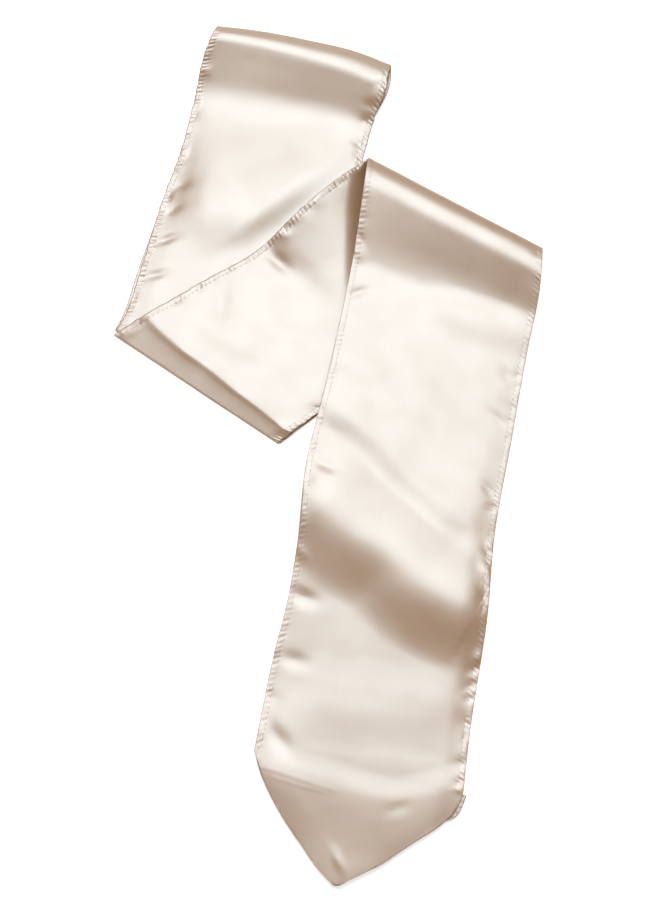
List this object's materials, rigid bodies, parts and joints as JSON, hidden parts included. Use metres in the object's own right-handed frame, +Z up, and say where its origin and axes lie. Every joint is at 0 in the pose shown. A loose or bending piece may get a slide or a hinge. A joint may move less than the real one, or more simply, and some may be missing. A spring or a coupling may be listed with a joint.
{
  "type": "satin sash",
  "caption": "Wide satin sash, doubled end to end and laid flat in a zigzag with soft rolled folds, hemmed long edges and a turned pointed end.",
  "frame": {"origin": "middle of the bounding box, on the surface that the sash lies on", "axes": "+Y along the sash's longest laid-out extent, from the turned point to the rolled doubling; +X to the right seen from above; +Z up from the surface"},
  "size_m": [0.3426, 0.7166, 0.012],
  "materials": {
    "satin": "champagne polyester satin, shiny face out"
  },
  "bodies": {
    "root": {"upper_stretch": "satin", "middle_stretch": "satin", "front_stretch": "satin", "point_back_left": "satin", "point_back_right": "satin", "under_layers": "satin"}
  },
  "joints": []
}
